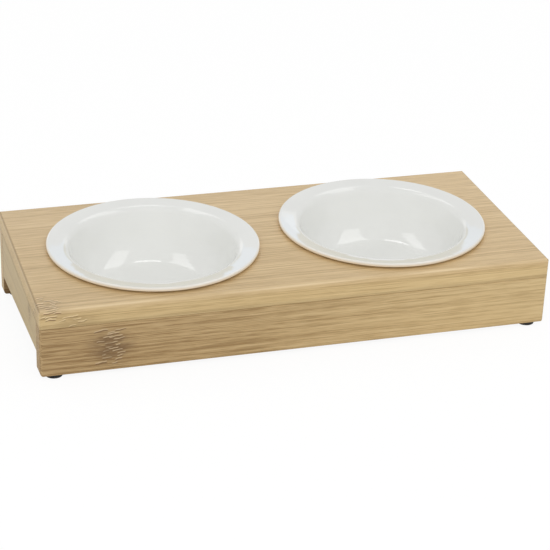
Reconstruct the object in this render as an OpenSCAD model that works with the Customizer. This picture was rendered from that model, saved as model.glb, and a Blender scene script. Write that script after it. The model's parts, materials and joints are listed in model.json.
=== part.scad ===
// Low bamboo stand with two glazed ceramic pet bowls that drop into round holes.
// Units are millimetres, +Z is up, and the front of the stand faces -Y.
// The origin lies on the floor, in the middle of the stand's length and depth.

/* [Bowls] */
// Diameter over the rim of a bowl
bowl_rim_d = 130; // [110:1:150]
// Depth of a bowl, from the top of its lip to its inside floor
bowl_depth = 30; // [22:0.5:36]
// Width of the flat rim, from its outer edge to where it turns down
rim_w = 12.6; // [10:0.2:15]
// Thickness of the rim at its lip
lip_t = 2.2; // [2:0.1:3.2]
// Room between the lip and the top board
lip_gap = 1.2; // [0.4:0.1:2]
// Radius on the upper and lower edges of the lip
lip_r = 1; // [0.6:0.1:1]
// Fall of the rim towards the inside of the bowl, in degrees
rim_fall = 9; // [4:0.5:12]
// Radius where the rim turns down into the bowl
shoulder_r = 6; // [4:0.25:7]
// Width of the flat ring under the rim that rests on the top board
seat_w = 2; // [1:0.25:3]
// Thickness of the wall and of the floor
wall_t = 3.2; // [2.4:0.1:4.4]
// Lean of the wall from upright, in degrees
wall_lean = 20; // [10:1:30]
// Inside radius between the wall and the floor
corner_r = 22; // [12:0.5:26]
// Radius between the outside of the wall and the seat of the rim
fillet_r = 1.5; // [0.6:0.1:2]
// Diameter over the foot ring under a bowl
foot_ring_d = 60; // [44:1:70]
// Width of the foot ring
foot_ring_w = 4; // [2.5:0.25:6]
// Drop of the foot ring below the underside of the bowl
foot_ring_h = 2; // [1:0.25:4]

/* [Stand] */
// Wood left between the two rims
bowl_gap = 17.6; // [10:0.2:30]
// Wood left between a rim and the end of the stand
end_margin = 18.2; // [12:0.2:30]
// Wood left in front of a rim and behind it
rim_margin = 7; // [3:0.25:15]
// Height of the front face, from the top down to the lower edge of the front board
front_h = 42.2; // [36:0.2:60]
// Lean of the top towards the front, in degrees
top_lean = 5; // [0:0.1:8]
// Height of the finger opening under each side panel
finger_gap = 11.7; // [6:0.1:14]

/* [Boards] */
// Thickness of the top board
top_t = 11.6; // [9:0.2:16]
// Thickness of the front board and of the back board
rail_t = 12; // [9:0.5:16]
// Thickness of the side panels
panel_t = 12; // [9:0.5:16]
// Radius on the front and back edges of the top
top_edge_r = 3; // [1:0.25:5]
// Radius on the ends and the lower edges of the boards
edge_r = 1; // [0.5:0.1:1.5]
// Radius on the lower corners of the long boards, as seen from the front
lower_corner_r = 2.5; // [1:0.25:3.5]
// Radius on the four upright corners of the stand, as seen from above
upright_corner_r = 2; // [0.5:0.25:3]
// Radius on the edges along a glued seam
seam_r = 0.4; // [0.2:0.1:0.8]
// Radius on the edges of the two round holes
hole_edge_r = 1; // [0.5:0.1:1.5]
// Room around a bowl in its hole
hole_gap = 0.8; // [0.5:0.1:1.5]

/* [Dowels] */
// Diameter of the dowels
dowel_d = 6; // [4:0.5:7]
// Length of the dowels
dowel_l = 20; // [16:0.5:24]
// Length of a dowel that lies in the board it is pushed into first
dowel_seat = 7; // [5:0.25:8]
// Glue space around a dowel and at its far end
glue_gap = 0.1; // [0.05:0.05:0.2]
// Bevel on the ends of a dowel
dowel_bevel = 0.6; // [0.3:0.1:1]
// Number of dowels between the top board and each long board
dowel_count = 4; // [2:1:6]
// Distance from the end of the stand to its first dowel
dowel_inset = 24; // [20:1:40]

/* [Feet] */
// Diameter of the rubber feet
foot_d = 10; // [7:0.5:10.5]
// Height of the rubber feet
foot_h = 2.2; // [1:0.1:4]
// Radius on the lower edge of a foot
foot_edge_r = 0.7; // [0.3:0.1:1]
// Distance from the end of the stand to the middle of a foot
foot_inset = 9; // [8:0.5:20]

/* [Hidden] */

$fn = 96;
// Length by which a cut runs past the face that it opens
overrun = 1;
// Length by which a fillet reaches into the solid that it is added to
bite = 0.2;
// Heights of the two dowels at each end of a side panel, as shares of the panel's height there
panel_dowel_shares = [0.28, 0.72];

bamboo = [0.80, 0.70, 0.54];
bamboo_shade = [0.74, 0.63, 0.46];
beech = [0.85, 0.76, 0.62];
ceramic = [0.93, 0.93, 0.91];
rubber = [0.08, 0.08, 0.08];

// Size of the stand, measured along its leaning top
stand_l = 2 * bowl_rim_d + bowl_gap + 2 * end_margin;
stand_w = bowl_rim_d + 2 * rim_margin;
bowl_x = (bowl_rim_d + bowl_gap) / 2;

// Places across the depth of the stand
rail_y = (stand_w - rail_t) / 2;
inner_y = stand_w / 2 - rail_t;

// The leaning top has its own axes: y along the top towards the back, z square to it, zero on its face.
// Depth below the top at which a board that stands at y meets the plane of all lower edges
function bottom_z(y) = -front_h - (y + stand_w / 2) * tan(top_lean);
// Depth below the top of a line parallel to the floor and raised by h
function raised_z(y, h) = bottom_z(y) + h / cos(top_lean);
// A point of the leaning axes in upright axes with the same origin
function upright(p) = [p.x * cos(top_lean) - p.y * sin(top_lean), p.x * sin(top_lean) + p.y * cos(top_lean)];

// Height of the middle of the top above the floor
top_z = foot_h + (stand_w / 2) * sin(top_lean) + front_h * cos(top_lean);
// Foremost and rearmost reach of the stand, which put the origin in the middle of its depth
front_reach = upright([top_edge_r - stand_w / 2, -top_edge_r]).x - top_edge_r;
rear_angle = (90 - top_lean) / 2;
rear_centre = [stand_w / 2, bottom_z(stand_w / 2)]
    - edge_r / cos((90 + top_lean) / 2) * [sin(rear_angle), -cos(rear_angle)];
rear_reach = upright(rear_centre).x + edge_r;
shift_y = -(front_reach + rear_reach) / 2;

// Outline of a bowl: radius first, then height above the face of the top board
rim_r = bowl_rim_d / 2;
lip_rise = lip_gap + lip_t;
floor_z = lip_rise - bowl_depth;
underside_z = floor_z - wall_t;
// Height of the upper face of the rim at radius r
function rim_top(r) = lip_rise - lip_r + (lip_r + (r - rim_r + lip_r) * sin(rim_fall)) / cos(rim_fall);
// Radius at which the face of the wall, or a face that lies t inside it, has the height z
function wall_r(z, t = 0) = rim_r - rim_w - (rim_top(rim_r - rim_w) - z) * tan(wall_lean) + t / cos(wall_lean);
// Radius at which the fillet under the rim ends
seat_r = wall_r(0, wall_t) + fillet_r * (1 - sin(wall_lean)) / cos(wall_lean);
hole_r = seat_r + hole_gap;
// Outer edge of the seat of the rim, from which the underside of the rim rises to the lip
seat_edge_r = hole_r + hole_edge_r + seat_w;
rim_slope = atan(lip_gap / (rim_r - seat_edge_r));

// Sets what is drawn in the leaning axes into place over the floor
module leaning() {
    translate([0, shift_y, top_z])
        rotate([top_lean, 0, 0])
            children();
}

// Extrudes an outline of depth and height along the length of the stand
module along_x(length) {
    rotate([90, 0, 90])
        linear_extrude(height = length, center = true)
            children();
}

// Extrudes an outline of length and height across the depth of the stand
module along_y(length) {
    rotate([90, 0, 0])
        linear_extrude(height = length, center = true)
            children();
}

// Sliver between a sharp corner at p and a round of radius r, where the faces at the corner have
// normals at the angles a and b that point away from the round. It reaches past both faces by over.
module corner_sliver(p, a, b, r, over) {
    mid = (a + b) / 2;
    reach = r / cos((b - a) / 2);
    centre = p - reach * [cos(mid), sin(mid)];
    difference() {
        polygon([
            centre,
            centre + (r + over) * [cos(a), sin(a)],
            centre + (reach + 2 * over) * [cos(mid), sin(mid)],
            centre + (r + over) * [cos(b), sin(b)]
        ]);
        translate(centre)
            circle(r);
    }
}

// What is cut from an outer corner to round it off
module rounding(p, a, b, r) {
    corner_sliver(p, a, b, r, overrun);
}

// What is added in an inner corner to fill it out. The normals point into the solid.
module fillet(p, a, b, r) {
    corner_sliver(p, a, b, r, bite);
}

// Rectangle from corner low to corner high, with a radius for each corner:
// lower left, lower right, upper right, upper left
module soft_rectangle(low, high, radii) {
    difference() {
        translate(low)
            square(high - low);
        rounding(low, 180, 270, radii[0]);
        rounding([high.x, low.y], 270, 360, radii[1]);
        rounding(high, 0, 90, radii[2]);
        rounding([low.x, high.y], 90, 180, radii[3]);
    }
}

// Space with the stand's length and rounded lower ends, which the boards that stand on the feet share
module standing_space() {
    translate([0, 0, foot_h])
        along_y(2 * stand_w)
            soft_rectangle(
                [-stand_l / 2, 0],
                [stand_l / 2, front_h + stand_w],
                [lower_corner_r, lower_corner_r, edge_r, edge_r]
            );
}

// Space inside the outline of the stand, seen square to its top, with rounded upright corners
module outline_space() {
    linear_extrude(height = 2 * (front_h + stand_w), center = true)
        soft_rectangle(
            [-stand_l / 2, -stand_w / 2],
            [stand_l / 2, stand_w / 2],
            [upright_corner_r, upright_corner_r, upright_corner_r, upright_corner_r]
        );
}

module dowel() {
    rotate_extrude()
        polygon([
            [0, 0],
            [dowel_d / 2 - dowel_bevel, 0],
            [dowel_d / 2, dowel_bevel],
            [dowel_d / 2, dowel_l - dowel_bevel],
            [dowel_d / 2 - dowel_bevel, dowel_l],
            [0, dowel_l]
        ]);
}

// Drilled hole for a dowel that starts at the origin and runs up
module dowel_bore() {
    cylinder(d = dowel_d + 2 * glue_gap, h = dowel_l + glue_gap);
}

// Places children where dowels stand up through the joint between a long board and the top
module at_top_dowels(y) {
    span = stand_l - 2 * dowel_inset;
    for (i = [0:dowel_count - 1])
        translate([-span / 2 + i * span / (dowel_count - 1), y, -top_t + dowel_seat])
            mirror([0, 0, 1])
                children();
}

// Places children where dowels lie through the joints at both ends of a side panel.
// side is -1 for the left end of the stand and 1 for the right one.
module at_panel_dowels(side) {
    for (back = [0, 1])
        for (share = panel_dowel_shares) {
            joint_y = back ? inner_y : -inner_y;
            panel_h = -top_t - raised_z(joint_y, finger_gap);
            translate([side * (stand_l - panel_t) / 2, joint_y, -top_t - panel_h * share])
                rotate([back ? 90 : -90, 0, 0])
                    translate([0, 0, -dowel_seat])
                        children();
        }
}

// Round hole that takes a bowl, with its edges eased above and below
module bowl_hole() {
    rotate_extrude() {
        translate([0, -top_t - overrun])
            square([hole_r, top_t + 2 * overrun]);
        rounding([hole_r, 0], 90, 180, hole_edge_r);
        rounding([hole_r, -top_t], 180, 270, hole_edge_r);
    }
}

module top_board() {
    color(bamboo)
        leaning()
            difference() {
                intersection() {
                    along_x(2 * stand_l)
                        soft_rectangle(
                            [-stand_w / 2, -top_t],
                            [stand_w / 2, 0],
                            [seam_r, seam_r, top_edge_r, top_edge_r]
                        );
                    along_y(2 * stand_w)
                        soft_rectangle(
                            [-stand_l / 2, -top_t],
                            [stand_l / 2, 0],
                            [seam_r, seam_r, edge_r, edge_r]
                        );
                    outline_space();
                }
                for (side = [-1, 1])
                    translate([side * bowl_x, 0, 0])
                        bowl_hole();
                for (y = [-rail_y, rail_y])
                    at_top_dowels(y)
                        dowel_bore();
            }
}

// Outline of a long board from its lower edge, which lies flat on the feet, up to the top.
// y is its middle, and its outer side is towards -Y when side is -1.
module long_board_outline(y, side) {
    near = y - rail_t / 2;
    far = y + rail_t / 2;
    difference() {
        polygon([
            [near, bottom_z(near)],
            [far, bottom_z(far)],
            [far, -top_t],
            [near, -top_t]
        ]);
        rounding([near, bottom_z(near)], 180, 270 - top_lean, edge_r);
        rounding([far, bottom_z(far)], 270 - top_lean, 360, edge_r);
        rounding([side < 0 ? near : far, -top_t], side < 0 ? 90 : 0, side < 0 ? 180 : 90, seam_r);
    }
}

// Long board under the front edge of the top (side -1) or under its back edge (side 1)
module long_board(side) {
    difference() {
        intersection() {
            leaning()
                intersection() {
                    along_x(2 * stand_l)
                        long_board_outline(side * rail_y, side);
                    outline_space();
                }
            standing_space();
        }
        leaning() {
            at_top_dowels(side * rail_y)
                dowel_bore();
            for (end = [-1, 1])
                at_panel_dowels(end)
                    dowel_bore();
        }
    }
}

module front_board() {
    color(bamboo)
        long_board(-1);
}

module back_board() {
    color(bamboo)
        long_board(1);
}

// Panel between the long boards, with its lower edge parallel to the floor
module side_panel(side) {
    outer = side * stand_l / 2;
    inner = outer - side * panel_t;
    lower_z = foot_h + finger_gap;
    difference() {
        intersection() {
            leaning()
                along_x(2 * stand_l)
                    polygon([
                        [-inner_y, -front_h - stand_w],
                        [inner_y, -front_h - stand_w],
                        [inner_y, -top_t],
                        [-inner_y, -top_t]
                    ]);
            along_y(2 * stand_w)
                soft_rectangle(
                    [min(inner, outer), lower_z],
                    [max(inner, outer), lower_z + stand_w],
                    [edge_r, edge_r, edge_r, edge_r]
                );
        }
        leaning()
            at_panel_dowels(side)
                dowel_bore();
    }
}

module left_side_panel() {
    color(bamboo_shade)
        side_panel(-1);
}

module right_side_panel() {
    color(bamboo_shade)
        side_panel(1);
}

module front_board_dowels() {
    color(beech)
        leaning()
            at_top_dowels(-rail_y)
                dowel();
}

module back_board_dowels() {
    color(beech)
        leaning()
            at_top_dowels(rail_y)
                dowel();
}

module left_panel_dowels() {
    color(beech)
        leaning()
            at_panel_dowels(-1)
                dowel();
}

module right_panel_dowels() {
    color(beech)
        leaning()
            at_panel_dowels(1)
                dowel();
}

// Round rubber foot on the lower edge of a long board, from the floor up
module foot(end, side) {
    foot_y = upright([side * rail_y, bottom_z(side * rail_y)]).x + shift_y;
    color(rubber)
        translate([end * (stand_l / 2 - foot_inset), foot_y, 0])
            rotate_extrude()
                difference() {
                    square([foot_d / 2, foot_h]);
                    rounding([foot_d / 2, 0], 270, 360, foot_edge_r);
                }
}

module front_left_foot() {
    foot(-1, -1);
}

module front_right_foot() {
    foot(1, -1);
}

module back_left_foot() {
    foot(-1, 1);
}

module back_right_foot() {
    foot(1, 1);
}

// Half section of a bowl without its foot ring: a sharp outline with its corners rounded and filled
module bowl_outline() {
    rim_x = rim_r - rim_w;
    wall_foot = [wall_r(underside_z, wall_t), underside_z];
    difference() {
        union() {
            polygon([
                [0, underside_z],
                wall_foot,
                [wall_r(0, wall_t), 0],
                [seat_edge_r, 0],
                [rim_r, lip_gap],
                [rim_r, rim_top(rim_r)],
                [rim_x, rim_top(rim_x)],
                [wall_r(floor_z), floor_z],
                [0, floor_z]
            ]);
            fillet([wall_r(floor_z), floor_z], 270, 360 - wall_lean, corner_r);
            fillet([wall_r(0, wall_t), 0], 90, 180 - wall_lean, fillet_r);
        }
        rounding(wall_foot, 270, 360 - wall_lean, corner_r + wall_t);
        rounding([seat_edge_r, 0], 270, 270 + rim_slope, lip_r);
        rounding([rim_r, lip_gap], 270 + rim_slope, 360, lip_r);
        rounding([rim_r, rim_top(rim_r)], 0, 90 + rim_fall, lip_r);
        rounding([rim_x, rim_top(rim_x)], 90 + rim_fall, 180 - wall_lean, shoulder_r);
    }
}

// Half section of the foot ring, with a rounded tread
module foot_ring_outline() {
    tread_z = underside_z - foot_ring_h + foot_ring_w / 2;
    translate([(foot_ring_d - foot_ring_w) / 2, tread_z])
        circle(d = foot_ring_w);
    translate([foot_ring_d / 2 - foot_ring_w, tread_z])
        square([foot_ring_w, floor_z - tread_z]);
}

module bowl(side) {
    color(ceramic)
        leaning()
            translate([side * bowl_x, 0, 0])
                rotate_extrude($fn = 180) {
                    bowl_outline();
                    foot_ring_outline();
                }
}

module left_bowl() {
    bowl(-1);
}

module right_bowl() {
    bowl(1);
}

top_board();
front_board();
back_board();
left_side_panel();
right_side_panel();
front_board_dowels();
back_board_dowels();
left_panel_dowels();
right_panel_dowels();
front_left_foot();
front_right_foot();
back_left_foot();
back_right_foot();
left_bowl();
right_bowl();
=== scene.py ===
import json
import math

import bpy
from mathutils import Matrix, Vector


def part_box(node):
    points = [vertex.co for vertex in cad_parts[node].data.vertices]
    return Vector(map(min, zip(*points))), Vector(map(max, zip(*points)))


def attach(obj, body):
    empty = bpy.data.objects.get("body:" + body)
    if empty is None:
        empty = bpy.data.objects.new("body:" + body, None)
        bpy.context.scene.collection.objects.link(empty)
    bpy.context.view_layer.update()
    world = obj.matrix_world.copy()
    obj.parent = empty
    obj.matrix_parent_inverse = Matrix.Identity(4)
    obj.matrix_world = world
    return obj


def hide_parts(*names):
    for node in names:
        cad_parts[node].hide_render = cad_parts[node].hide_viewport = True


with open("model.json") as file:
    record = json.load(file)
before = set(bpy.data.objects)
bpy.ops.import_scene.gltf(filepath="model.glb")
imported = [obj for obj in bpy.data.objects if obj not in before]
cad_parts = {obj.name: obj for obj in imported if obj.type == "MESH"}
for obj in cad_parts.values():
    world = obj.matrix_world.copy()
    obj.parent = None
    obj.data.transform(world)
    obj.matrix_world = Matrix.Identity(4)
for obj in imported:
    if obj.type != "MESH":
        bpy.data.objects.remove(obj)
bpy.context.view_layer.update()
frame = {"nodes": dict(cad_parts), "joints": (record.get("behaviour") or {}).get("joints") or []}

bl_info = {
    "name": "Double Pet Bowl",
    "version": (1, 0, 0),
    "blender": (4, 5, 0),
    "location": "3D View > Sidebar > Pet Bowl",
    "description": "Glazed bowls, bamboo boards, dowels and feet of a low stand, and a plain studio",
    "category": "Add Mesh",
}

# The leaning axes of the stand: x along its length, depth_way up the top towards the back, lift square to it
lift = Vector(frame["joints"][0]["axis"])
lean = math.atan2(-lift.y, lift.z)
depth_way = Vector((0, math.cos(lean), math.sin(lean)))


def reach(name, way):
    """Lowest and highest reach of a CAD node along a direction."""
    steps = [vertex.co.dot(way) for vertex in frame["nodes"][name].data.vertices]
    return min(steps), max(steps)


def middle_x(name):
    """Middle of a CAD node along the length of the stand."""
    low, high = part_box(name)
    return (low.x + high.x) / 2


# The middle of the top's face, where the leaning axes start
half_depth = (reach("top_board", depth_way)[1] - reach("top_board", depth_way)[0]) / 2
top_middle = depth_way * (reach("top_board", depth_way)[0] + half_depth) + lift * reach("top_board", lift)[1]
half_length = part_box("top_board")[1].x
top_thickness = reach("top_board", lift)[1] - reach("top_board", lift)[0]
bowl_x = middle_x("right_bowl")
bowl_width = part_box("right_bowl")[1].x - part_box("right_bowl")[0].x

BOARDS = ["top_board", "front_board", "back_board", "left_side_panel", "right_side_panel"]
DOWELS = {
    "front_board_dowels": "Z",
    "back_board_dowels": "Z",
    "left_panel_dowels": "Y",
    "right_panel_dowels": "Y",
}
FEET = ["front_left_foot", "front_right_foot", "back_left_foot", "back_right_foot"]


class BowlSizes(bpy.types.PropertyGroup):
    """Sizes of a bowl, as a potter would give them"""

    rim_diameter: bpy.props.FloatProperty(
        name="Rim diameter", description="Diameter over the rim", default=bowl_width, min=0.11, max=0.15,
        unit="LENGTH", precision=4)
    depth: bpy.props.FloatProperty(
        name="Depth", description="From the top of the lip to the inside floor", default=0.030, min=0.022,
        max=0.036, unit="LENGTH", precision=4)
    rim_width: bpy.props.FloatProperty(
        name="Rim width", description="From the lip to where the rim turns down", default=0.0126, min=0.010,
        max=0.015, unit="LENGTH", precision=4)
    lip_thickness: bpy.props.FloatProperty(
        name="Lip thickness", description="Thickness of the rim at its lip", default=0.0022, min=0.002,
        max=0.0032, unit="LENGTH", precision=4)
    lip_gap: bpy.props.FloatProperty(
        name="Lip gap", description="Room between the lip and the top board", default=0.0012, min=0.0004,
        max=0.002, unit="LENGTH", precision=4)
    lip_radius: bpy.props.FloatProperty(
        name="Lip radius", description="Radius on the edges of the lip", default=0.001, min=0.0006,
        max=0.001, unit="LENGTH", precision=4)
    rim_fall: bpy.props.FloatProperty(
        name="Rim fall", description="Fall of the rim towards the inside", default=math.radians(9),
        min=math.radians(4), max=math.radians(12), unit="ROTATION")
    shoulder_radius: bpy.props.FloatProperty(
        name="Shoulder radius", description="Radius where the rim turns down", default=0.006, min=0.004,
        max=0.007, unit="LENGTH", precision=4)
    wall: bpy.props.FloatProperty(
        name="Wall", description="Thickness of the wall and floor", default=0.0032, min=0.0024, max=0.0044,
        unit="LENGTH", precision=4)
    wall_lean: bpy.props.FloatProperty(
        name="Wall lean", description="Lean of the wall from upright", default=math.radians(20),
        min=math.radians(10), max=math.radians(30), unit="ROTATION")
    corner_radius: bpy.props.FloatProperty(
        name="Corner radius", description="Inside radius between wall and floor", default=0.022, min=0.012,
        max=0.026, unit="LENGTH", precision=4)
    fillet_radius: bpy.props.FloatProperty(
        name="Fillet radius", description="Radius between wall and seat", default=0.0015, min=0.0006,
        max=0.002, unit="LENGTH", precision=4)
    seat_reach: bpy.props.FloatProperty(
        name="Seat reach", description="From the fillet to the outer edge of the seat", default=0.0038,
        min=0.003, max=0.005, unit="LENGTH", precision=4)
    ring_diameter: bpy.props.FloatProperty(
        name="Foot ring diameter", description="Diameter over the foot ring", default=0.06, min=0.044,
        max=0.07, unit="LENGTH", precision=4)
    ring_width: bpy.props.FloatProperty(
        name="Foot ring width", description="Width of the foot ring", default=0.004, min=0.0025, max=0.006,
        unit="LENGTH", precision=4)
    ring_height: bpy.props.FloatProperty(
        name="Foot ring height", description="Drop of the foot ring", default=0.002, min=0.001, max=0.004,
        unit="LENGTH", precision=4)
    spin_steps: bpy.props.IntProperty(
        name="Spin steps", description="Steps of the outline round the bowl", default=192, min=48, max=256)
    arc_steps: bpy.props.IntProperty(
        name="Arc steps", description="Steps in each round of the outline", default=12, min=4, max=24)


class FinishColours(bpy.types.PropertyGroup):
    """Colours of the finishes"""

    glaze: bpy.props.FloatVectorProperty(
        name="Glaze", description="Off-white glaze", subtype="COLOR", size=3, default=(0.93, 0.935, 0.905),
        min=0, max=1)
    # Warm painted reflection of the bamboo board on the bowls' lip
    board_reflection_on_lip: bpy.props.FloatVectorProperty(
        name="Lip reflection", description="Warm painted reflection of the bamboo board on the lip",
        subtype="COLOR", size=3, default=(0.95, 0.83, 0.65), min=0, max=1)
    bare_clay: bpy.props.FloatVectorProperty(
        name="Bare clay", description="Unglazed tread of the foot ring", subtype="COLOR", size=3,
        default=(0.62, 0.58, 0.50), min=0, max=1)
    bamboo_light: bpy.props.FloatVectorProperty(
        name="Light bamboo", description="Pale fibres", subtype="COLOR", size=3, default=(0.86, 0.65, 0.375),
        min=0, max=1)
    bamboo_middle: bpy.props.FloatVectorProperty(
        name="Bamboo", description="Main tone of the boards", subtype="COLOR", size=3,
        default=(0.74, 0.535, 0.288), min=0, max=1)
    bamboo_dark: bpy.props.FloatVectorProperty(
        name="Dark bamboo", description="Dark fibres", subtype="COLOR", size=3, default=(0.48, 0.315, 0.142),
        min=0, max=1)
    # Brown of the cane joints, also used for the painted shadow of their dark dashes and the dark line at
    # the top's ends
    knot_and_shadow: bpy.props.FloatVectorProperty(
        name="Knot", description="Brown of the joints of the cane", subtype="COLOR", size=3,
        default=(0.30, 0.18, 0.08), min=0, max=1)
    # Pale torn fibres of the cane joints, also used for the painted highlight along the top's front edge
    torn_fibre_and_highlight: bpy.props.FloatVectorProperty(
        name="Torn fibre", description="Pale torn fibres in the joints of the cane", subtype="COLOR", size=3,
        default=(0.97, 0.76, 0.48), min=0, max=1)
    beech_light: bpy.props.FloatVectorProperty(
        name="Light beech", description="Pale fibres of the dowels", subtype="COLOR", size=3,
        default=(0.68, 0.52, 0.33), min=0, max=1)
    beech_dark: bpy.props.FloatVectorProperty(
        name="Dark beech", description="Flecks of the dowels", subtype="COLOR", size=3,
        default=(0.50, 0.34, 0.19), min=0, max=1)
    rubber: bpy.props.FloatVectorProperty(
        name="Rubber", description="Black rubber of the feet", subtype="COLOR", size=3,
        default=(0.012, 0.012, 0.012), min=0, max=1)


class StudioSettings(bpy.types.PropertyGroup):
    """Camera, floor and lamps"""

    yaw: bpy.props.FloatProperty(
        name="Yaw", description="Turn of the camera about the upright axis", default=math.radians(-16.143),
        unit="ROTATION")
    pitch: bpy.props.FloatProperty(
        name="Pitch", description="Tilt of the camera below the horizon", default=math.radians(21.427),
        unit="ROTATION")
    roll: bpy.props.FloatProperty(
        name="Roll", description="Turn of the camera about its own axis", default=math.radians(0.282),
        unit="ROTATION")
    distance: bpy.props.FloatProperty(
        name="Distance", description="From the camera to the origin, along its view", default=1.1586,
        unit="LENGTH", precision=4)
    aside: bpy.props.FloatProperty(
        name="Aside", description="Origin's place to the right of the view's middle", default=0.01095,
        unit="LENGTH", precision=4)
    above: bpy.props.FloatProperty(
        name="Above", description="Origin's place above the view's middle", default=-0.02111, unit="LENGTH",
        precision=4)
    focal_pixels: bpy.props.FloatProperty(
        name="Focal length", description="Focal length in pixels of the picture", default=1834.1)
    centre_pixel: bpy.props.FloatVectorProperty(
        name="Centre", description="Pixel on the camera's axis", size=2, default=(250.0, 275.0))
    floor_colour: bpy.props.FloatVectorProperty(
        name="Floor", description="Colour of the floor", subtype="COLOR", size=3, default=(0.9, 0.9, 0.9),
        min=0, max=1)
    sky_strength: bpy.props.FloatProperty(
        name="Sky", description="Strength of the even light from all round", default=0.70, min=0, max=2)
    softbox_power: bpy.props.FloatProperty(
        name="Softbox power", description="Watts to the square metre of the overhead softboxes", default=5.6,
        min=0, max=100)
    back_power: bpy.props.FloatProperty(
        name="Back power", description="Power of the wide softbox at the back", default=0.7, min=0, max=100,
        unit="POWER")
    back_colour: bpy.props.FloatVectorProperty(
        name="Back colour", description="Colour of the wide softbox at the back", subtype="COLOR", size=3,
        default=(0.15, 0.5, 1.0), min=0, max=1)
    fill_power: bpy.props.FloatProperty(
        name="Fill power", description="Power of the large softbox at the front", default=5.0, min=0,
        max=100, unit="POWER")
    card_colour: bpy.props.FloatVectorProperty(
        name="Card", description="Colour of the card behind the stand", subtype="COLOR", size=3,
        default=(0.72, 0.58, 0.20), min=0, max=1)


PICTURE_PIXELS = 550
# The floor's side and how far it lies under the feet, then the strength of the white glow that is mixed into
# what the camera sees of it, and its share
FLOOR_SIZE = 8
FLOOR_DROP = 0.0001
FLOOR_GLOW = 1.04
FLOOR_GLOW_SHARE = 0.88
# Card and single softboxes: how far each is to the right, behind and above, counted for the card from the
# origin and for the softboxes from the top's middle, and its width and height
CARD_PLACE = (0, 1.7, 0.55)
CARD_SIZE = (0.88, 0.28)
BACK_PLACE = (0, 2.05, 0.86)
BACK_SIZE = (1.2, 0.44)
FILL_PLACE = (0, -1.35, 1.1)
FILL_SIZE = (1.6, 1.0)
# Softboxes above the stand, facing down: how far each is to the right of the top's middle and behind it, how
# its length is turned, its width and its length
OVERHEAD_HEIGHT = 2.5
OVERHEAD_SOFTBOXES = {
    "left_softbox": (-0.80, 1.05, 0.2, 0.61, 2.5),
    "right_softbox": (1.20, 0.85, -0.3, 0.95, 2.7),
}
# Softboxes behind the stand that only reflections show: how far each is to the right of the top's middle,
# behind it and above it, its width, its height and its brightness as a share of the overhead ones
REFLECTED_SOFTBOXES = {
    "strip_softbox": (0, 2.45, 3.78, 0.68, 0.75, 2.0),
    "back_left_softbox": (-0.86, 2.0, 0.78, 0.49, 0.70, 0.35),
    "back_right_softbox": (0.64, 2.0, 0.78, 0.57, 0.70, 0.22),
}


def deselect_all():
    """Leaves nothing selected, because operators act on all that is."""
    if bpy.context.object and bpy.context.object.mode != "OBJECT":
        bpy.ops.object.mode_set(mode="OBJECT")
    bpy.ops.object.select_all(action="DESELECT")


def rounded(corners, steps):
    """Points of an open outline, given as (corner, radius of its round), with the rounds as arcs."""
    points = [corners[0][0]]
    for (before, _), (corner, radius), (after, _) in zip(corners, corners[1:], corners[2:]):
        if radius == 0:
            points.append(corner)
            continue
        back = (before - corner).normalized()
        onward = (after - corner).normalized()
        half = back.angle(onward) / 2
        centre = corner + (back + onward).normalized() * (radius / math.sin(half))
        start = corner + back * (radius / math.tan(half)) - centre
        end = corner + onward * (radius / math.tan(half)) - centre
        for step in range(steps + 1):
            points.append(centre + start.slerp(end, step / steps).normalized() * radius)
    points.append(corners[-1][0])
    return points


def bowl_outline(sizes):
    """Half section of a bowl, from the middle of its inside floor round the rim to the underside.
    Each point is a radius and a height above the face of the top board."""
    rim = sizes.rim_diameter / 2
    lip_top = sizes.lip_gap + sizes.lip_thickness
    floor = lip_top - sizes.depth
    underside = floor - sizes.wall
    shoulder = rim - sizes.rim_width
    slant = math.tan(sizes.wall_lean)

    def rim_top(radius):
        """Height of the rim's upper face."""
        fall = (radius - rim + sizes.lip_radius) * math.sin(sizes.rim_fall)
        return lip_top - sizes.lip_radius + (sizes.lip_radius + fall) / math.cos(sizes.rim_fall)

    def wall_at(height, skin=0.0):
        """Radius of the inside of the wall, or of a face that far outside it."""
        return shoulder - (rim_top(shoulder) - height) * slant + skin / math.cos(sizes.wall_lean)

    seat_start = wall_at(0, sizes.wall)
    turn = (1 - math.sin(sizes.wall_lean)) / math.cos(sizes.wall_lean)
    seat_end = seat_start + sizes.fillet_radius * turn + sizes.seat_reach
    shell = rounded([
        (Vector((0, floor)), 0),
        (Vector((wall_at(floor), floor)), sizes.corner_radius),
        (Vector((shoulder, rim_top(shoulder))), sizes.shoulder_radius),
        (Vector((rim, rim_top(rim))), sizes.lip_radius),
        (Vector((rim, sizes.lip_gap)), sizes.lip_radius),
        (Vector((seat_end, 0)), sizes.lip_radius),
        (Vector((seat_start, 0)), sizes.fillet_radius),
        (Vector((wall_at(underside, sizes.wall), underside)), sizes.corner_radius + sizes.wall),
        (Vector((0, underside)), 0),
    ], sizes.arc_steps)
    ring = sizes.ring_diameter / 2
    tread = underside - sizes.ring_height
    round_tread = sizes.ring_width * 0.49
    rim_point = max(range(len(shell)), key=lambda place: shell[place].x)
    outside = [point for place, point in enumerate(shell[:-1]) if place <= rim_point or point.x > ring]
    curve = sizes.corner_radius + sizes.wall
    curve_centre = wall_at(underside, sizes.wall) - curve * math.tan((math.pi / 2 - sizes.wall_lean) / 2)
    meeting = underside + curve - math.sqrt(curve ** 2 - (ring - curve_centre) ** 2)
    return rounded([(point, 0) for point in outside] + [
        (Vector((ring, meeting)), 0),
        (Vector((ring, tread)), round_tread),
        (Vector((ring - sizes.ring_width, tread)), round_tread),
        (Vector((ring - sizes.ring_width, underside)), 0),
        (Vector((0, underside)), 0),
    ], sizes.arc_steps)


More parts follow.
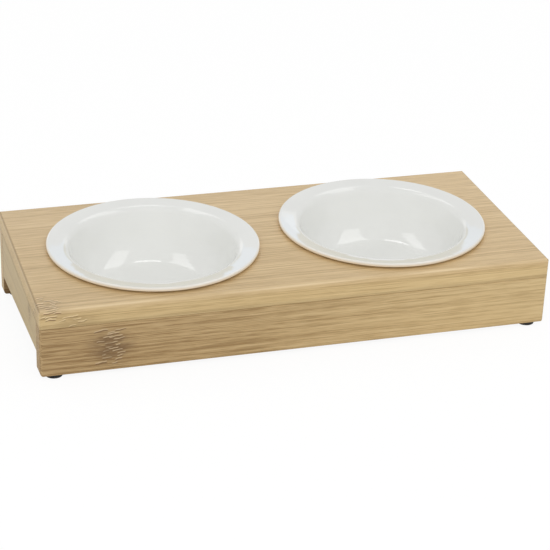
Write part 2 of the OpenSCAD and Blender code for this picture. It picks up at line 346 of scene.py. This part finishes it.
def spin_outline(name, points, steps):
    """Traces an outline with an extruded vertex, spins it round the Z axis and returns the closed piece."""
    deselect_all()
    bpy.ops.mesh.primitive_plane_add(size=bowl_width)
    piece = bpy.context.object
    piece.name = piece.data.name = name
    bpy.ops.object.mode_set(mode="EDIT")
    bpy.ops.mesh.select_all(action="SELECT")
    bpy.ops.mesh.merge(type="CENTER")
    bpy.ops.transform.translate(value=(points[0].x, 0, points[0].y))
    for before, after in zip(points, points[1:]):
        step = after - before
        bpy.ops.mesh.extrude_vertices_move(TRANSFORM_OT_translate={"value": (step.x, 0, step.y)})
    bpy.ops.mesh.select_all(action="SELECT")
    bpy.ops.mesh.spin(steps=steps, angle=math.tau, center=(0, 0, 0), axis=(0, 0, 1))
    bpy.ops.mesh.select_all(action="SELECT")
    bpy.ops.mesh.remove_doubles(threshold=0.00001)
    bpy.ops.mesh.normals_make_consistent(inside=False)
    bpy.ops.object.mode_set(mode="OBJECT")
    bpy.ops.object.shade_smooth()
    return piece


def settle(piece, place):
    """Leans a piece as the top leans, puts it at its place and applies both to its mesh."""
    deselect_all()
    piece.select_set(True)
    bpy.context.view_layer.objects.active = piece
    piece.matrix_world = Matrix.Translation(place) @ Matrix.Rotation(lean, 4, "X")
    bpy.ops.object.transform_apply(location=True, rotation=True, scale=True)


class Nodes:
    """Adds shader nodes to a tree. An input is a plain value or the output socket of another node."""

    def __init__(self, tree):
        self.tree = tree

    def add(self, kind, inputs=None, **settings):
        """A new node, with its settings and its inputs by name or number."""
        made = self.tree.nodes.new(kind)
        for name, value in settings.items():
            setattr(made, name, value)
        for name, value in (inputs or {}).items():
            if isinstance(value, bpy.types.NodeSocket):
                self.tree.links.new(value, made.inputs[name])
            else:
                made.inputs[name].default_value = value
        return made

    def math(self, operation, *values):
        """Result of a sum on one, two or three values."""
        return self.add("ShaderNodeMath", dict(enumerate(values)), operation=operation).outputs[0]

    def vector(self, operation, *values, scale=None):
        """Result of a sum on vectors, or of one with a scale."""
        inputs = dict(enumerate(values)) if scale is None else {0: values[0], "Scale": scale}
        return self.add("ShaderNodeVectorMath", inputs, operation=operation).outputs[0]

    def ramp(self, value, low, high, to_low=0.0, to_high=1.0):
        """Smooth step of a value from one range to another."""
        return self.add("ShaderNodeMapRange", {
            "Value": value, "From Min": low, "From Max": high, "To Min": to_low, "To Max": to_high,
        }, interpolation_type="SMOOTHSTEP").outputs["Result"]

    def noise(self, vector, detail=2.0, roughness=0.5):
        """Noise with features about one unit wide, from 0 to 1."""
        return self.add("ShaderNodeTexNoise", {
            "Vector": vector, "Scale": 1.0, "Detail": detail, "Roughness": roughness,
        }).outputs["Fac"]

    def mix(self, share, first, second, blend="MIX"):
        """Second colour over the first one, by a share."""
        made = self.add("ShaderNodeMix", {0: share, 6: first, 7: second}, data_type="RGBA", blend_type=blend)
        return made.outputs[2]

    def split(self, vector):
        """The three parts of a vector."""
        return self.add("ShaderNodeSeparateXYZ", {0: vector}).outputs

    def join(self, x, y, z):
        """A vector from its three parts."""
        return self.add("ShaderNodeCombineXYZ", {0: x, 1: y, 2: z}).outputs[0]

    def stand_axes(self):
        """A point of the surface in the leaning axes, which start in the middle of the top's face."""
        turn = Matrix.Rotation(-lean, 3, "X")
        return self.add("ShaderNodeMapping", {
            "Vector": self.add("ShaderNodeTexCoord").outputs["Object"],
            "Location": -(turn @ top_middle),
            "Rotation": (-lean, 0, 0),
        }).outputs[0]


def four(colour):
    """A colour with its alpha."""
    return (*colour, 1.0)


def new_group(name, inputs, outputs):
    """A shader node group with named inputs (kind and default) and outputs (kind)."""
    tree = bpy.data.node_groups.new(name, "ShaderNodeTree")
    for title, (kind, default) in inputs.items():
        socket = tree.interface.new_socket(title, in_out="INPUT", socket_type="NodeSocket" + kind)
        if default is not None:
            socket.default_value = default
    for title, kind in outputs.items():
        tree.interface.new_socket(title, in_out="OUTPUT", socket_type="NodeSocket" + kind)
    nodes = Nodes(tree)
    return nodes, nodes.add("NodeGroupInput").outputs


def grain_group():
    """Fibres of bamboo strips, with the grain along X of the vector and the strips side by side in Y."""
    nodes, given = new_group("Bamboo grain", {
        "Grain": ("Vector", None),
        "Strip width": ("Float", 0.02),
        "Strip start": ("Float", 0.0),
        "Streaks": ("Float", 0.5),
        "Light": ("Color", (1, 1, 1, 1)),
        "Middle": ("Color", (0.5, 0.5, 0.5, 1)),
        "Dark": ("Color", (0, 0, 0, 1)),
    }, {"Color": "Color", "Roughness": "Float", "Height": "Float"})
    across = nodes.split(given["Grain"])[1]
    strips = nodes.math("DIVIDE", nodes.math("SUBTRACT", across, given["Strip start"]), given["Strip width"])
    number = nodes.math("FLOOR", strips)
    own = nodes.add("ShaderNodeTexWhiteNoise", {"W": number}, noise_dimensions="1D").outputs["Value"]
    shifted = nodes.vector("ADD", given["Grain"], nodes.join(nodes.math("MULTIPLY", own, 3.1), 0, own))

    def fibres(along, across_scale, detail=2.0, roughness=0.5):
        """Noise drawn out along the grain, with its scales as counts to the metre."""
        stretched = nodes.vector("MULTIPLY", shifted, (along, across_scale, across_scale))
        return nodes.noise(stretched, detail, roughness)

    broad = fibres(3.0, 75.0, 1.0)
    streaks = fibres(5.0, 650.0, 3.0, 0.6)
    lines = nodes.ramp(fibres(16.0, 1500.0, 1.0), 0.56, 0.66)
    fine = fibres(70.0, 1500.0, 2.0, 0.6)
    tone = 0.5
    for pattern, strength in ((streaks, 1.8), (broad, 0.35), (own, 0.12), (fine, 1.7)):
        tone = nodes.math("MULTIPLY_ADD", nodes.math("SUBTRACT", pattern, 0.5), strength, tone)
    pull = nodes.math("MULTIPLY", nodes.math("SUBTRACT", tone, 0.5), given["Streaks"])
    colour = nodes.mix(nodes.math("MAXIMUM", pull, 0.0), given["Middle"], given["Light"])
    colour = nodes.mix(nodes.math("MAXIMUM", nodes.math("MULTIPLY", pull, -1.0), 0.0), colour, given["Dark"])
    colour = nodes.mix(nodes.math("MULTIPLY", nodes.math("MULTIPLY", lines, 0.45), given["Streaks"]),
                       colour, given["Dark"])
    within = nodes.math("FRACT", strips)
    to_seam = nodes.math("MULTIPLY", nodes.math("MINIMUM", within, nodes.math("SUBTRACT", 1.0, within)),
                         given["Strip width"])
    seam = nodes.ramp(to_seam, 0.0, 0.00035, 0.3, 0.0)
    colour = nodes.mix(seam, colour, given["Dark"])
    height = nodes.math("MULTIPLY_ADD", lines, -0.5, streaks)
    nodes.add("NodeGroupOutput", {
        "Color": colour,
        "Roughness": nodes.math("MULTIPLY_ADD", streaks, 0.16, 0.40),
        "Height": nodes.math("MULTIPLY_ADD", seam, -1.0, height),
    })
    return nodes.tree


def cane_joint_group():
    """The mark that a joint of the cane leaves in a strip: rows of torn fibres in a brown patch.
    Each row is a light dash over a dark one, and the dark dash is painted shadow under the raised fibres."""
    nodes, given = new_group("Cane joint", {
        "Grain": ("Vector", None),
        "Along": ("Float", 0.0),
        "Across": ("Float", 0.0),
        "Half length": ("Float", 0.006),
        "Half width": ("Float", 0.01),
        "Spacing": ("Float", 0.0023),
    }, {"Patch": "Float", "Light": "Float", "Dark": "Float"})
    along, across, _ = nodes.split(given["Grain"])
    place = nodes.join(along, across, 0)
    off_along = nodes.math("SUBTRACT", along, given["Along"])
    off_across = nodes.math("SUBTRACT", across, given["Across"])
    far_along = nodes.math("DIVIDE", nodes.math("ABSOLUTE", off_along), given["Half length"])
    far_across = nodes.math("DIVIDE", nodes.math("ABSOLUTE", off_across), given["Half width"])
    wander = nodes.noise(nodes.vector("MULTIPLY", place, (170, 210, 0)), 2.0)
    slanted = nodes.math("MULTIPLY_ADD", off_along, -0.10, off_across)
    slanted = nodes.math("MULTIPLY_ADD", nodes.math("SUBTRACT", wander, 0.5), 0.0022, slanted)
    rows = nodes.math("DIVIDE", slanted, given["Spacing"])
    chance = nodes.split(nodes.add("ShaderNodeTexWhiteNoise", {
        "W": nodes.math("ADD", nodes.math("FLOOR", rows), given["Along"]),
    }, noise_dimensions="1D").outputs["Color"])
    within = nodes.math("FRACT", rows)
    centre = nodes.math("MULTIPLY", nodes.math("SUBTRACT", chance[0], 0.5), given["Half length"])
    share = nodes.math("MULTIPLY_ADD", chance[1], 0.5, 0.2)
    half_dash = nodes.math("MULTIPLY", share, given["Half length"])
    off_dash = nodes.math("ABSOLUTE", nodes.math("SUBTRACT", off_along, centre))
    present = nodes.ramp(nodes.math("SUBTRACT", half_dash, off_dash), -0.0002, 0.0010)
    present = nodes.math("MULTIPLY", present, nodes.ramp(far_across, 0.85, 1.0, 1.0, 0.0))
    light = nodes.ramp(nodes.math("ABSOLUTE", nodes.math("SUBTRACT", within, 0.68)), 0.06, 0.22, 1.0, 0.0)
    # The dark dash below each light one is painted shadow
    dark = nodes.ramp(nodes.math("ABSOLUTE", nodes.math("SUBTRACT", within, 0.32)), 0.08, 0.26, 1.0, 0.0)
    from_middle = nodes.join(nodes.math("DIVIDE", far_along, 2.4), far_across, 0)
    distance = nodes.add("ShaderNodeVectorMath", {0: from_middle}, operation="LENGTH").outputs["Value"]
    mottled = nodes.noise(nodes.vector("MULTIPLY", place, (110, 300, 0)), 2.0)
    inside = nodes.ramp(distance, 0.1, 1.0, 1.0, 0.0)
    nodes.add("NodeGroupOutput", {
        "Patch": nodes.math("MULTIPLY", inside, nodes.ramp(mottled, 0.3, 0.62, 0.25, 1.0)),
        "Light": nodes.math("MULTIPLY", light, present),
        "Dark": nodes.math("MULTIPLY", dark, present),
    })
    return nodes.tree


def new_material(name):
    """A material with an empty tree, its Principled shader and a helper that adds nodes."""
    material = bpy.data.materials.new(name)
    material.use_nodes = True
    material.node_tree.nodes.clear()
    nodes = Nodes(material.node_tree)
    shader = nodes.add("ShaderNodeBsdfPrincipled")
    nodes.add("ShaderNodeOutputMaterial", {"Surface": shader.outputs[0]})
    return material, nodes, shader


def dress(name, material):
    """Gives a CAD node its material."""
    node = frame["nodes"][name]
    node.data.materials.clear()
    node.data.materials.append(material)


def bump(nodes, shader, height, distance):
    """Feeds a height in shares of the distance to the shader's normal."""
    made = nodes.add("ShaderNodeBump", {"Height": height, "Distance": distance, "Strength": 1.0})
    nodes.tree.links.new(made.outputs[0], shader.inputs["Normal"])


def glaze_material(colours, sizes):
    """Off-white glaze over clay, which is bare on the tread of the foot ring."""
    material, nodes, shader = new_material("White glaze")
    x, y, z = nodes.split(nodes.stand_axes())
    from_axis = nodes.math("SUBTRACT", nodes.math("ABSOLUTE", x), bowl_x)
    point = nodes.join(from_axis, y, z)
    cloud = nodes.noise(nodes.vector("MULTIPLY", point, (24, 24, 24)), 2.0)
    ripple = nodes.noise(nodes.vector("MULTIPLY", point, (130, 130, 130)), 1.0)
    tread = sizes.lip_gap + sizes.lip_thickness - sizes.depth - sizes.wall - sizes.ring_height
    bare = nodes.ramp(z, tread + 0.0003, tread + 0.0007, 1.0, 0.0)
    deep = four([part * 0.965 for part in colours.glaze])
    glazed = nodes.mix(nodes.ramp(cloud, 0.3, 0.7), four(colours.glaze), deep)
    level = nodes.join(from_axis, y, 0)
    radius = nodes.add("ShaderNodeVectorMath", {0: level}, operation="LENGTH").outputs["Value"]
    rim = sizes.rim_diameter / 2
    # Painted reflection of the bamboo board on the lip: a warm tone near the rim's outer edge, strongest on
    # its lower half
    edge = nodes.ramp(radius, rim - 0.0014, rim - 0.0004)
    lip_middle = sizes.lip_gap + sizes.lip_thickness / 2
    lip_reflection = nodes.math("MULTIPLY", edge, nodes.ramp(z, lip_middle, lip_middle + 0.0006, 0.75, 0.35))
    glazed = nodes.mix(lip_reflection, glazed, four(colours.board_reflection_on_lip))
    colour = nodes.mix(bare, glazed, four(colours.bare_clay))
    rough = nodes.math("MULTIPLY_ADD", cloud, 0.03, 0.02)
    nodes.tree.links.new(colour, shader.inputs["Base Color"])
    nodes.tree.links.new(nodes.math("MULTIPLY_ADD", bare, 0.7, rough), shader.inputs["Roughness"])
    bump(nodes, shader, ripple, 0.00008)
    return material


class MESH_OT_glazed_bowls(bpy.types.Operator):
    """Model the two glazed bowls that hang by their rims in the top board"""

    bl_idname = "mesh.glazed_bowls"
    bl_label = "Glazed bowls"

    def execute(self, context):
        sizes = context.scene.bowl_sizes
        glaze = glaze_material(context.scene.finish_colours, sizes)
        left = spin_outline("left_glazed_bowl", bowl_outline(sizes), sizes.spin_steps)
        left.data.materials.append(glaze)
        bpy.ops.object.duplicate(linked=False)
        right = context.object
        right.name = right.data.name = "right_glazed_bowl"
        for piece, side, body in ((left, -1, "left_bowl"), (right, 1, "right_bowl")):
            settle(piece, top_middle + Vector((side * bowl_x, 0, 0)))
            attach(piece, body)
            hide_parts(body)
        return {"FINISHED"}


# Marks of cane joints on each board: along, across, half length, half width and spacing of the rows, then
# how strong the brown patch, the dark dashes of painted shadow and the light dashes are.
# Along and across are in the axes of the board's grain, from the middle of the top's face.
JOINTS = {
    "top_board": [
        (-0.1520, -0.0650, 0.0062, 0.0130, 0.0023, 0.25, 0.90, 1.00),
        (-0.1475, -0.0690, 0.0058, 0.0110, 0.0019, 0.25, 0.90, 1.00),
        (-0.1350, -0.0795, 0.0085, 0.0048, 0.0020, 0.40, 0.50, 0.80),
    ],
    "front_board": [
        (-0.1185, -0.0262, 0.0068, 0.0128, 0.0023, 0.90, 0.85, 0.90),
        (-0.1125, -0.0270, 0.0066, 0.0125, 0.0019, 0.90, 0.90, 0.95),
    ],
    "back_board": [
        (0.062, -0.030, 0.006, 0.011, 0.0024, 0.6, 0.7, 0.7),
        (-0.098, -0.047, 0.006, 0.011, 0.0024, 0.6, 0.7, 0.7),
    ],
    "left_side_panel": [(-0.039, -0.016, 0.0034, 0.0075, 0.0018, 0.85, 0.9, 0.3)],
    "right_side_panel": [(0.028, -0.024, 0.004, 0.009, 0.002, 0.4, 0.4, 0.5)],
}
# Share of the red, green and blue of the common bamboo colours that each board keeps
TINT = {
    "top_board": (1.0, 1.0, 1.0),
    "front_board": (1.0, 0.97, 0.89),
    "back_board": (0.94, 0.95, 0.93),
    "left_side_panel": (0.855, 0.91, 0.91),
    "right_side_panel": (0.94, 0.96, 0.95),
}
# Painted shading over the common tone, from a first end to a second: of the front board and of the top from
# left to right, lighter to the right where more light falls; then tones of the top from front to back, and
# up its edges, darker towards the underside
FRONT_LENGTH_PAINTED_SHADING = (0.70, 0.67, 0.63, 1), (1.0, 1.05, 1.07, 1)
TOP_LENGTH_PAINTED_SHADING = (0.94, 1.01)
TOP_DEPTH_SHADES = (0.935, 0.935, 0.90, 1), (0.98, 1.0, 1.03, 1)
TOP_EDGE_SHADES = (0.86, 1.04)
# A lighter, warmer tone on the face under the top's front edge, and painted shadow on the back board's face
# inside the stand
TOP_FRONT_SHADE = (1.05, 1.06, 1.00)
INNER_FACE_PAINTED_SHADOW = (0.48, 0.40, 0.33)
# Widths of the strips that each board is glued up from
STRIP_WIDTH = {
    "top_board": 0.0206,
    "front_board": 0.0306,
    "back_board": 0.0205,
    "left_side_panel": 0.021,
    "right_side_panel": 0.021,
}
# How strong the fibres of each board are at the left end of the stand and at its right one
STREAKS = {
    "top_board": (1.2, 1.2),
    "front_board": (2.5, 1.1),
    "back_board": (1.7, 1.7),
    "left_side_panel": (0.7, 0.7),
    "right_side_panel": (0.7, 0.7),
}


def shade_top(nodes, colour, axes, pale, colours):
    """Colour of the top with a paler band and a dark line at each end, a painted highlight along its front
    edge, and its tones and painted shading.
    """
    x, y, z = axes
    # A paler band on each end face below the top edge, and a dark line along that edge
    from_end = nodes.math("SUBTRACT", half_length, nodes.math("ABSOLUTE", x))
    at_end = nodes.ramp(from_end, 0.0006, 0.0011, 1.0, 0.0)
    at_top = nodes.ramp(z, -0.0011, -0.0006)
    below = nodes.ramp(z, -0.0060, -0.0016)
    paler = nodes.math("MULTIPLY", at_end, nodes.math("SUBTRACT", below, at_top))
    colour = nodes.mix(nodes.math("MULTIPLY", paler, 0.35), colour, pale)
    # Painted highlight along the rounded front edge, broken up along its length, in the pale fibre colour
    from_front = nodes.math("ADD", y, half_depth)
    edge = nodes.math("MULTIPLY", nodes.ramp(from_front, 0.0006, 0.0012),
                      nodes.ramp(from_front, 0.0016, 0.0024, 1.0, 0.0))
    highlight_breakup = nodes.noise(nodes.join(nodes.math("MULTIPLY", x, 14.0), 0, 3.7), 1.0)
    bright = nodes.ramp(highlight_breakup, 0.38, 0.62)
    colour = nodes.mix(nodes.math("MULTIPLY", nodes.math("MULTIPLY", edge, bright), 0.7), colour,
                       four(colours.torn_fibre_and_highlight))
    front_face = nodes.vector("MULTIPLY", colour, TOP_FRONT_SHADE)
    colour = nodes.mix(nodes.ramp(z, -0.0040, -0.0010, 1.0, 0.0), colour, front_face)
    colour = nodes.vector("SCALE", colour, scale=nodes.ramp(z, -top_thickness, -0.0080, *TOP_EDGE_SHADES))
    end_dark_line = nodes.math("MULTIPLY", at_end, at_top)
    colour = nodes.mix(nodes.math("MULTIPLY", end_dark_line, 0.5), colour, four(colours.knot_and_shadow))
    shade = nodes.mix(nodes.ramp(y, -half_depth, half_depth), *TOP_DEPTH_SHADES)
    colour = nodes.mix(1.0, colour, shade, "MULTIPLY")
    # Painted shading along the top, lighter towards the right
    return nodes.vector("SCALE", colour, scale=nodes.ramp(x, -half_length, half_length, *TOP_LENGTH_PAINTED_SHADING))


def board_material(name, colours, grain, cane_joint):
    """Satin bamboo with its grain along the board, its cane joints and its darker edges."""
    material, nodes, shader = new_material(name.replace("_", " ").capitalize() + " bamboo")
    x, y, z = nodes.split(nodes.stand_axes())
    if name == "top_board":
        vector = nodes.join(x, nodes.math("ADD", y, z), z)
        start = -half_depth - top_thickness
    elif name.endswith("panel"):
        vector = nodes.join(y, z, x)
        start = -top_thickness
    else:
        vector = nodes.join(x, z, y)
        start = -top_thickness
    pale, plain, deep = (four([part * share for part, share in zip(each, TINT[name])])
                         for each in (colours.bamboo_light, colours.bamboo_middle, colours.bamboo_dark))
    fibres = nodes.add("ShaderNodeGroup", {
        "Grain": vector,
        "Strip width": STRIP_WIDTH[name],
        "Strip start": start,
        "Streaks": nodes.ramp(x, -half_length, half_length, *STREAKS[name]),
        "Light": pale,
        "Middle": plain,
        "Dark": deep,
    }, node_tree=grain)
    colour, height = fibres.outputs["Color"], fibres.outputs["Height"]
    for along, across, half_long, half_wide, spacing, brown, shadow_rows, pale_rows in JOINTS[name]:
        mark = nodes.add("ShaderNodeGroup", {
            "Grain": vector,
            "Along": along,
            "Across": across,
            "Half length": half_long,
            "Half width": half_wide,
            "Spacing": spacing,
        }, node_tree=cane_joint)
        patch, light, dark = (mark.outputs[title] for title in ("Patch", "Light", "Dark"))
        colour = nodes.mix(nodes.math("MULTIPLY", patch, brown), colour, four(colours.knot_and_shadow))
        # Dark dashes of painted shadow under the torn fibres
        colour = nodes.mix(nodes.math("MULTIPLY", dark, shadow_rows), colour, four(colours.knot_and_shadow))
        colour = nodes.mix(nodes.math("MULTIPLY", light, pale_rows), colour, four(colours.torn_fibre_and_highlight))
        height = nodes.math("MULTIPLY_ADD", nodes.math("SUBTRACT", light, dark), 0.8, height)
    if name == "top_board":
        colour = shade_top(nodes, colour, (x, y, z), pale, colours)
    if name == "back_board":
        # Painted shadow darkens the back board's face inside the stand
        from_back = nodes.math("SUBTRACT", half_depth, y)
        inside = nodes.ramp(from_back, top_thickness - 0.0012, top_thickness - 0.0004)
        colour = nodes.mix(inside, colour, nodes.vector("MULTIPLY", colour, INNER_FACE_PAINTED_SHADOW))
    # Painted shading along the front board: darker at the left end, lighter at the right
    if name == "front_board":
        shade = nodes.mix(nodes.ramp(x, -half_length, half_length), *FRONT_LENGTH_PAINTED_SHADING)
        colour = nodes.mix(1.0, colour, shade, "MULTIPLY")
    nodes.tree.links.new(colour, shader.inputs["Base Color"])
    nodes.tree.links.new(fibres.outputs["Roughness"], shader.inputs["Roughness"])
    bump(nodes, shader, height, 0.00006)
    return material


class OBJECT_OT_bamboo_boards(bpy.types.Operator):
    """Finish the five boards of the stand in satin bamboo"""

    bl_idname = "object.bamboo_boards"
    bl_label = "Bamboo boards"

    def execute(self, context):
        colours = context.scene.finish_colours
        grain, cane_joint = grain_group(), cane_joint_group()
        for name in BOARDS:
            dress(name, board_material(name, colours, grain, cane_joint))
        return {"FINISHED"}


def beech_material(name, axis, colours):
    """Turned beech with short flecks along the dowel."""
    material, nodes, shader = new_material(name)
    scales = (900, 900, 60) if axis == "Z" else (900, 60, 900)
    flecks = nodes.noise(nodes.vector("MULTIPLY", nodes.stand_axes(), scales), 2.0)
    colour = nodes.mix(nodes.ramp(flecks, 0.35, 0.7), four(colours.beech_light), four(colours.beech_dark))
    nodes.tree.links.new(colour, shader.inputs["Base Color"])
    nodes.tree.links.new(nodes.math("MULTIPLY_ADD", flecks, 0.2, 0.5), shader.inputs["Roughness"])
    bump(nodes, shader, flecks, 0.0001)
    return material


class OBJECT_OT_beech_dowels(bpy.types.Operator):
    """Finish the dowels inside the glued joints in plain beech"""

    bl_idname = "object.beech_dowels"
    bl_label = "Beech dowels"

    def execute(self, context):
        colours = context.scene.finish_colours
        for name, axis in DOWELS.items():
            dress(name, beech_material(name.replace("_", " ").capitalize(), axis, colours))
        return {"FINISHED"}


class OBJECT_OT_rubber_feet(bpy.types.Operator):
    """Finish the four round feet in black rubber"""

    bl_idname = "object.rubber_feet"
    bl_label = "Rubber feet"

    def execute(self, context):
        material, nodes, shader = new_material("Foot rubber")
        point = nodes.add("ShaderNodeTexCoord").outputs["Object"]
        dust = nodes.noise(nodes.vector("MULTIPLY", point, (900, 900, 900)), 3.0, 0.6)
        rubber = context.scene.finish_colours.rubber
        dusty = four([part * 3 for part in rubber])
        colour = nodes.mix(nodes.ramp(dust, 0.45, 0.8), four(rubber), dusty)
        nodes.tree.links.new(colour, shader.inputs["Base Color"])
        nodes.tree.links.new(nodes.math("MULTIPLY_ADD", dust, 0.3, 0.4), shader.inputs["Roughness"])
        bump(nodes, shader, dust, 0.0001)
        for name in FEET:
            dress(name, material)
        return {"FINISHED"}


def studio_floor(settings):
    """A wide pale floor that keeps the shadow and looks white to the camera."""
    deselect_all()
    bpy.ops.mesh.primitive_plane_add(size=FLOOR_SIZE, location=(0, 0, -FLOOR_DROP))
    floor = bpy.context.object
    floor.name = "studio_floor"
    material, nodes, shader = new_material("Studio floor")
    shader.inputs["Base Color"].default_value = four(settings.floor_colour)
    shader.inputs["Roughness"].default_value = 0.8
    shader.inputs["Specular IOR Level"].default_value = 0.1
    seen = nodes.add("ShaderNodeLightPath").outputs["Is Camera Ray"]
    glow = nodes.add("ShaderNodeEmission", {"Color": (1, 1, 1, 1), "Strength": FLOOR_GLOW})
    lit = nodes.add("ShaderNodeMixShader", {
        0: nodes.math("MULTIPLY", seen, FLOOR_GLOW_SHARE), 1: shader.outputs[0], 2: glow.outputs[0],
    })
    under = nodes.add("ShaderNodeNewGeometry").outputs["Backfacing"]
    clear = nodes.add("ShaderNodeBsdfTransparent")
    either = nodes.add("ShaderNodeMixShader", {
        0: nodes.math("MULTIPLY", seen, under), 1: lit.outputs[0], 2: clear.outputs[0],
    })
    output = next(node for node in nodes.tree.nodes if node.type == "OUTPUT_MATERIAL")
    nodes.tree.links.new(either.outputs[0], output.inputs["Surface"])
    floor.data.materials.append(material)


def studio_sky(strength):
    """Even light from all round, which looks white to the camera and in reflections."""
    world = bpy.data.worlds.new("Studio sky")
    bpy.context.scene.world = world
    world.use_nodes = True
    world.node_tree.nodes.clear()
    nodes = Nodes(world.node_tree)
    path = nodes.add("ShaderNodeLightPath").outputs
    plain = nodes.math("MAXIMUM", path["Is Camera Ray"],
                       nodes.math("MAXIMUM", path["Is Glossy Ray"], path["Is Transmission Ray"]))
    level = nodes.math("MULTIPLY_ADD", plain, 1.0 - strength, strength)
    background = nodes.add("ShaderNodeBackground", {"Color": (1, 1, 1, 1), "Strength": level})
    nodes.add("ShaderNodeOutputWorld", {"Surface": background.outputs[0]})


def studio_way(settings, aside, back, above):
    """A direction as the camera has it: to its right, away from it, and up."""
    return Matrix.Rotation(settings.yaw, 3, "Z") @ Vector((aside, back, above))


def softbox(name, place, away, along, size, power):
    """A rectangular lamp that shines against one direction and has its second side along another."""
    bpy.ops.object.light_add(type="AREA", location=place)
    lamp = bpy.context.object
    lamp.name = name
    lamp.data.shape = "RECTANGLE"
    lamp.data.size, lamp.data.size_y = size
    lamp.data.energy = power
    away = away.normalized()
    aside = along.cross(away).normalized()
    lamp.rotation_euler = Matrix((aside, away.cross(aside), away)).transposed().to_euler()
    return lamp


def studio_card(settings):
    """A long beige card behind the stand, which only reflections show."""
    deselect_all()
    bpy.ops.mesh.primitive_plane_add(size=1, location=studio_way(settings, *CARD_PLACE),
                                     rotation=(math.pi / 2, 0, settings.yaw))
    card = bpy.context.object
    card.name = "studio_card"
    card.scale = (*CARD_SIZE, 1)
    card.visible_camera = False
    material, nodes, shader = new_material("Studio card")
    shader.inputs["Base Color"].default_value = four(settings.card_colour)
    shader.inputs["Roughness"].default_value = 0.9
    card.data.materials.append(material)


def studio_camera(settings):
    """Camera at the picture's angle, with the pixel on its axis set by the shift."""
    bpy.ops.object.camera_add()
    camera = bpy.context.object
    turn = (Matrix.Rotation(settings.yaw, 4, "Z") @ Matrix.Rotation(math.pi / 2 - settings.pitch, 4, "X")
            @ Matrix.Rotation(settings.roll, 4, "Z"))
    offset = turn @ Vector((-settings.aside, -settings.above, settings.distance))
    camera.matrix_world = Matrix.Translation(offset) @ turn
    camera.data.sensor_width = 36
    camera.data.lens = settings.focal_pixels * camera.data.sensor_width / PICTURE_PIXELS
    camera.data.shift_x = (PICTURE_PIXELS / 2 - settings.centre_pixel[0]) / PICTURE_PIXELS
    camera.data.shift_y = (settings.centre_pixel[1] - PICTURE_PIXELS / 2) / PICTURE_PIXELS
    bpy.context.scene.camera = camera


class OBJECT_OT_pet_bowl_studio(bpy.types.Operator):
    """Set up the pale floor, the even sky, the card, the softboxes and the camera"""

    bl_idname = "object.pet_bowl_studio"
    bl_label = "Studio"

    def execute(self, context):
        settings = context.scene.studio_settings
        studio_floor(settings)
        studio_sky(settings.sky_strength)
        studio_card(settings)
        up = Vector((0, 0, 1))
        for name, (aside, back, turn, width, length) in OVERHEAD_SOFTBOXES.items():
            place = top_middle + studio_way(settings, aside, back, OVERHEAD_HEIGHT)
            power = settings.softbox_power * width * length
            lamp = softbox(name, place, up, studio_way(settings, turn, 1, 0), (width, length), power)
            lamp.visible_diffuse = False
        for name, (aside, back, above, width, height, share) in REFLECTED_SOFTBOXES.items():
            way = studio_way(settings, aside, back, above)
            power = settings.softbox_power * share * width * height
            lamp = softbox(name, top_middle + way, way, up, (width, height), power)
            lamp.visible_diffuse = False
        way = studio_way(settings, *BACK_PLACE)
        back = softbox("back_softbox", top_middle + way, way, up, BACK_SIZE, settings.back_power)
        back.data.color = settings.back_colour
        way = studio_way(settings, *FILL_PLACE)
        front = softbox("front_softbox", top_middle + way, way, up, FILL_SIZE, settings.fill_power)
        front.visible_glossy = False
        studio_camera(settings)
        context.scene.view_settings.view_transform = "Standard"
        return {"FINISHED"}


class VIEW3D_PT_pet_bowl(bpy.types.Panel):
    """Lists the parts of the double pet bowl"""

    bl_label = "Double Pet Bowl"
    bl_idname = "VIEW3D_PT_pet_bowl"
    bl_space_type = "VIEW_3D"
    bl_region_type = "UI"
    bl_category = "Pet Bowl"

    def draw(self, context):
        for operator in OPERATORS:
            self.layout.operator(operator.bl_idname)
        for group in (context.scene.bowl_sizes, context.scene.finish_colours, context.scene.studio_settings):
            box = self.layout.box()
            for name in group.bl_rna.properties.keys():
                if name not in {"rna_type", "name"}:
                    box.prop(group, name)


OPERATORS = [
    MESH_OT_glazed_bowls,
    OBJECT_OT_bamboo_boards,
    OBJECT_OT_beech_dowels,
    OBJECT_OT_rubber_feet,
    OBJECT_OT_pet_bowl_studio,
]
CLASSES = [BowlSizes, FinishColours, StudioSettings, *OPERATORS, VIEW3D_PT_pet_bowl]


def register():
    for each in CLASSES:
        bpy.utils.register_class(each)
    bpy.types.Scene.bowl_sizes = bpy.props.PointerProperty(type=BowlSizes)
    bpy.types.Scene.finish_colours = bpy.props.PointerProperty(type=FinishColours)
    bpy.types.Scene.studio_settings = bpy.props.PointerProperty(type=StudioSettings)


def unregister():
    del bpy.types.Scene.studio_settings
    del bpy.types.Scene.finish_colours
    del bpy.types.Scene.bowl_sizes
    for each in reversed(CLASSES):
        bpy.utils.unregister_class(each)


def main():
    """Models and finishes the whole object."""
    register()
    bpy.ops.mesh.glazed_bowls()
    bpy.ops.object.bamboo_boards()
    bpy.ops.object.beech_dowels()
    bpy.ops.object.rubber_feet()
    bpy.ops.object.pet_bowl_studio()


if __name__ == "__main__":
    main()
